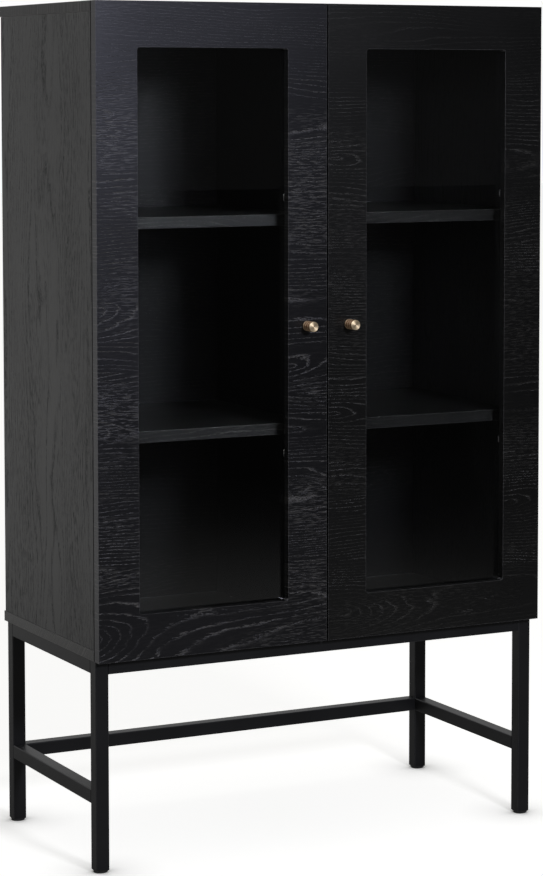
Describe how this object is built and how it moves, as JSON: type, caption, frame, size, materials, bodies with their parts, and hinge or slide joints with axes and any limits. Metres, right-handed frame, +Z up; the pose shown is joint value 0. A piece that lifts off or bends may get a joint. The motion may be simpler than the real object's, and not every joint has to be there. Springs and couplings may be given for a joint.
{
  "type": "display cabinet",
  "caption": "Black oak-veneered display cabinet with glazed double doors and inner shelves on a square-tube stand.",
  "frame": {"origin": "on the floor under the centre of the whole bounding box, knobs included", "axes": "+Z up, front with the doors and knobs toward -Y, +X to the viewer's right when facing the front"},
  "size_m": [0.9, 0.478, 1.528],
  "materials": {
    "black_oak_veneer": "satin, open-pore",
    "black_steel": "satin powder coat",
    "brass": "lathe-turned, polished",
    "clear_glass": "polished",
    "nickel_hardware": "nickel plated",
    "plastic_glide": "moulded"
  },
  "bodies": {
    "case": {"bottom_panel": "black_oak_veneer", "top_panel": "black_oak_veneer", "left_side_panel": "black_oak_veneer", "right_side_panel": "black_oak_veneer", "back_panel": "black_oak_veneer", "centre_divider": "black_oak_veneer", "left_lower_shelf": "black_oak_veneer", "left_upper_shelf": "black_oak_veneer", "right_lower_shelf": "black_oak_veneer", "right_upper_shelf": "black_oak_veneer", "shelf_pin_lower_left_front": "nickel_hardware", "shelf_pin_lower_left_rear": "nickel_hardware", "shelf_pin_upper_left_front": "nickel_hardware", "shelf_pin_upper_left_rear": "nickel_hardware", "shelf_pin_lower_middle_front": "nickel_hardware", "shelf_pin_lower_middle_rear": "nickel_hardware", "shelf_pin_upper_middle_front": "nickel_hardware", "shelf_pin_upper_middle_rear": "nickel_hardware", "shelf_pin_lower_right_front": "nickel_hardware", "shelf_pin_lower_right_rear": "nickel_hardware", "shelf_pin_upper_right_front": "nickel_hardware", "shelf_pin_upper_right_rear": "nickel_hardware", "left_hinge_arm_bottom": "nickel_hardware", "left_hinge_arm_middle": "nickel_hardware", "left_hinge_arm_top": "nickel_hardware", "right_hinge_arm_bottom": "nickel_hardware", "right_hinge_arm_middle": "nickel_hardware", "right_hinge_arm_top": "nickel_hardware", "left_front_leg": "black_steel", "left_rear_leg": "black_steel", "right_front_leg": "black_steel", "right_rear_leg": "black_steel", "left_front_glide": "plastic_glide", "left_rear_glide": "plastic_glide", "right_front_glide": "plastic_glide", "right_rear_glide": "plastic_glide", "left_top_rail": "black_steel", "right_top_rail": "black_steel", "front_top_rail": "black_steel", "rear_top_rail": "black_steel", "left_stretcher": "black_steel", "right_stretcher": "black_steel", "rear_stretcher": "black_steel"},
    "left_door": {"left_door_frame": "black_oak_veneer", "left_glass_pane": "clear_glass", "left_knob": "brass", "left_glass_clip_lower": "nickel_hardware", "left_glass_clip_upper": "nickel_hardware", "left_hinge_cup_bottom": "nickel_hardware", "left_hinge_cup_middle": "nickel_hardware", "left_hinge_cup_top": "nickel_hardware"},
    "right_door": {"right_door_frame": "black_oak_veneer", "right_glass_pane": "clear_glass", "right_knob": "brass", "right_glass_clip_lower": "nickel_hardware", "right_glass_clip_upper": "nickel_hardware", "right_hinge_cup_bottom": "nickel_hardware", "right_hinge_cup_middle": "nickel_hardware", "right_hinge_cup_top": "nickel_hardware"}
  },
  "joints": [
    {"name": "left_door_hinge", "type": "hinge", "parent": "case", "child": "left_door", "pos_m": [-0.443, -0.199, 0.3783], "axis": [0, 0, -1], "range_deg": [0, 100]},
    {"name": "right_door_hinge", "type": "hinge", "parent": "case", "child": "right_door", "pos_m": [0.443, -0.199, 0.3783], "axis": [0, 0, 1], "range_deg": [0, 100]}
  ]
}
